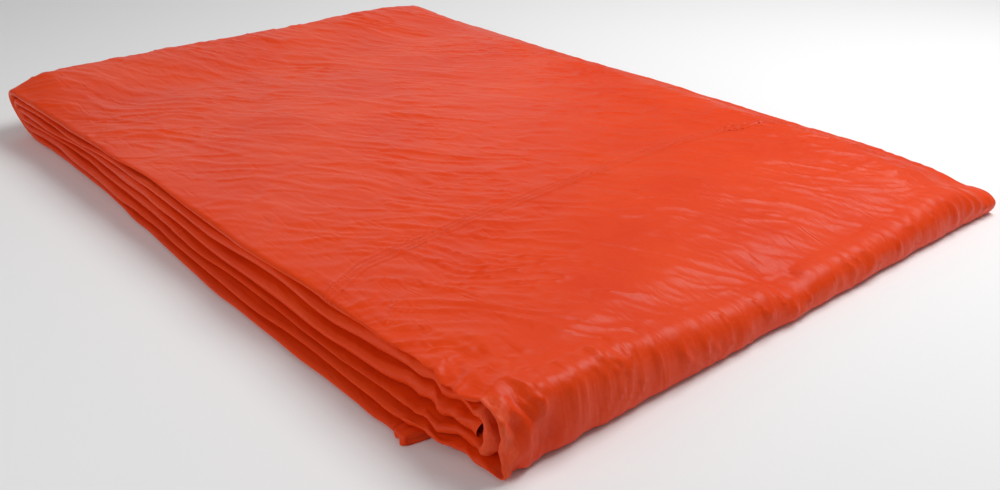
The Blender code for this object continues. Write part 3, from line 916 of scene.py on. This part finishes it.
class QUILT_OT_hems(bpy.types.Operator):
    """Make the hems along the long edges and across both ends"""

    bl_idname = "quilt.hems"
    bl_label = "Hems"

    def execute(self, context):
        hem = cover_material(context, "laminated_tape_weave_hem", 0.44, 0.5)
        for place, side in (("outer", 1), ("inner", -1)):
            for part, span, body in HEM_PARTS:
                piece = hem_band(f"{place}_side_hem_{part}_cloth", hem, span, side)
                if body:
                    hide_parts(f"{place}_side_hem_{part}")
                hold(piece, body)
        ends = (("outer", (0.0, HEM_WIDTH), "end_leaf"),
                ("inner", (STRIP.length - HEM_WIDTH, STRIP.length), "rolled_pack"))
        for place, span, body in ends:
            piece = cloth_sheet(f"{place}_end_hem_cloth", hem, span, -HEM_PROUD,
                                lambda part: 0.002, 0.01, 30, hem_y=HEM_Y,
                                rise=rolled_hem_rise if place == "outer" else None)
            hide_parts(f"{place}_end_hem")
            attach(piece, body)
        return {"FINISHED"}


class QUILT_OT_cross_seams(bpy.types.Operator):
    """Make the bands where panels overlap"""

    bl_idname = "quilt.cross_seams"
    bl_label = "Cross Seams"

    def execute(self, context):
        cover = cover_material(context)
        for number, seam in enumerate(SEAM_RUNS, start=1):
            span = (seam - SEAM_WIDTH / 2, seam + SEAM_WIDTH / 2)
            outer_step = SHOWN_STEP if number == 1 else COVERED_STEP
            piece = cloth_sheet(f"cross_seam_{number}_cloth", cover, span, -SEAM_PROUD,
                                lambda part: 0.001, outer_step, 30, rise=lap_rise)
            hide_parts(f"cross_seam_{number}")
            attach(piece, "rolled_pack")
        return {"FINISHED"}


class QUILT_OT_stitching(bpy.types.Operator):
    """Sew the rows of stitches along the hems and the cross seams"""

    bl_idname = "quilt.stitching"
    bl_label = "Stitching"

    def execute(self, context):
        chosen, sizes = context.scene.quilt_colours, context.scene.quilt_sizes
        thread = bonded_thread("bonded_polyester_thread", chosen.thread, chosen.thread_groove_shade)
        sewn = (thread, sizes.stitch, sizes.thread)
        across = (STRAIGHT_Y + 0.002, HEM_Y - HEM_WIDTH)
        rows = [seam - SEAM_WIDTH * offset for seam in SEAM_RUNS for offset in (0.17, -0.17)]
        pack = seam_stitches("cross_seam_stitches", sewn, rows, across, (1,))
        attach(pack, "rolled_pack")
        hem_rows = (HEM_Y - HEM_WIDTH + 0.004, HEM_Y - 0.006)
        for part, span, body in HEM_PARTS:
            extent = (max(span[0], 0.01), min(span[1], SEAM_RUNS[2]))
            piece = seam_stitches(f"{part}_hem_stitches", sewn, extent, hem_rows, (1,))
            hold(piece, body)
        ends = seam_stitches("outer_end_stitches", sewn, [0.92 * HEM_WIDTH], across, (1, -1))
        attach(ends, "end_leaf")
        return {"FINISHED"}


class QUILT_OT_stage(bpy.types.Operator):
    """Set up the pale floor, the soft studio lights and the camera"""

    bl_idname = "quilt.stage"
    bl_label = "Stage"

    def execute(self, context):
        scene = context.scene
        paper = pale_paper("matt_paper_sweep")
        mesh = bpy.data.meshes.new("studio_floor")
        signs = ((-1, -1), (1, -1), (1, 1), (-1, 1))
        corners = [(x * FLOOR_REACH, y * FLOOR_REACH, FLOOR_Z) for x, y in signs]
        mesh.from_pydata(corners, [], [(0, 1, 2, 3)])
        mesh.materials.append(paper)
        floor = bpy.data.objects.new("studio_floor", mesh)
        scene.collection.objects.link(floor)
        world = bpy.data.worlds.new("studio_white")
        world.use_nodes = True
        background = world.node_tree.nodes["Background"]
        background.inputs["Color"].default_value = srgb("#ffffff")
        background.inputs["Strength"].default_value = WORLD_STRENGTH
        scene.world = world
        scene.view_settings.view_transform = "Standard"
        for name, place, aim, size, power in LIGHTS:
            lamp = bpy.data.lights.new(name, "AREA")
            lamp.shape = "SQUARE"
            lamp.size = size
            lamp.energy = power
            light = bpy.data.objects.new(name, lamp)
            light.location = place
            light.rotation_mode = "QUATERNION"
            light.rotation_quaternion = (Vector(aim) - Vector(place)).to_track_quat("-Z", "Y")
            scene.collection.objects.link(light)
        lens = bpy.data.cameras.new("studio_camera")
        lens.sensor_width = SENSOR_WIDTH
        lens.lens = FOCAL_LENGTH
        lens.dof.use_dof = False
        camera = bpy.data.objects.new("studio_camera", lens)
        pitch = math.radians(CAMERA_PITCH)
        heading = Vector(CAMERA_HEADING).normalized()
        sight = heading * math.cos(pitch) + Vector((0, 0, -math.sin(pitch)))
        camera.location = CAMERA_PLACE
        camera.rotation_mode = "QUATERNION"
        camera.rotation_quaternion = sight.to_track_quat("-Z", "Y")
        scene.collection.objects.link(camera)
        scene.camera = camera
        return {"FINISHED"}


class QUILT_PT_panel(bpy.types.Panel):
    """Lists what makes up the quilt."""

    bl_label = "Ground Quilt"
    bl_idname = "QUILT_PT_panel"
    bl_space_type = "VIEW_3D"
    bl_region_type = "UI"
    bl_category = "Quilt"

    def draw(self, context):
        for operator in OPERATORS:
            self.layout.operator(operator.bl_idname)


OPERATORS = (
    QUILT_OT_padding,
    QUILT_OT_linings,
    QUILT_OT_covers,
    QUILT_OT_hems,
    QUILT_OT_cross_seams,
    QUILT_OT_stitching,
    QUILT_OT_stage,
)
CLASSES = (QuiltColours, QuiltSizes, *OPERATORS, QUILT_PT_panel)


def register():
    """Register every class and its settings."""
    for made in CLASSES:
        bpy.utils.register_class(made)
    bpy.types.Scene.quilt_colours = PointerProperty(type=QuiltColours)
    bpy.types.Scene.quilt_sizes = PointerProperty(type=QuiltSizes)


def unregister():
    """Undo register()."""
    del bpy.types.Scene.quilt_sizes
    del bpy.types.Scene.quilt_colours
    for made in reversed(CLASSES):
        bpy.utils.unregister_class(made)


def main():
    """Make every piece in order."""
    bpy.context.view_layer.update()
    register()
    for operator in OPERATORS:
        group, name = operator.bl_idname.split(".")
        getattr(getattr(bpy.ops, group), name)()
    bpy.context.view_layer.update()


if __name__ == "__main__":
    main()
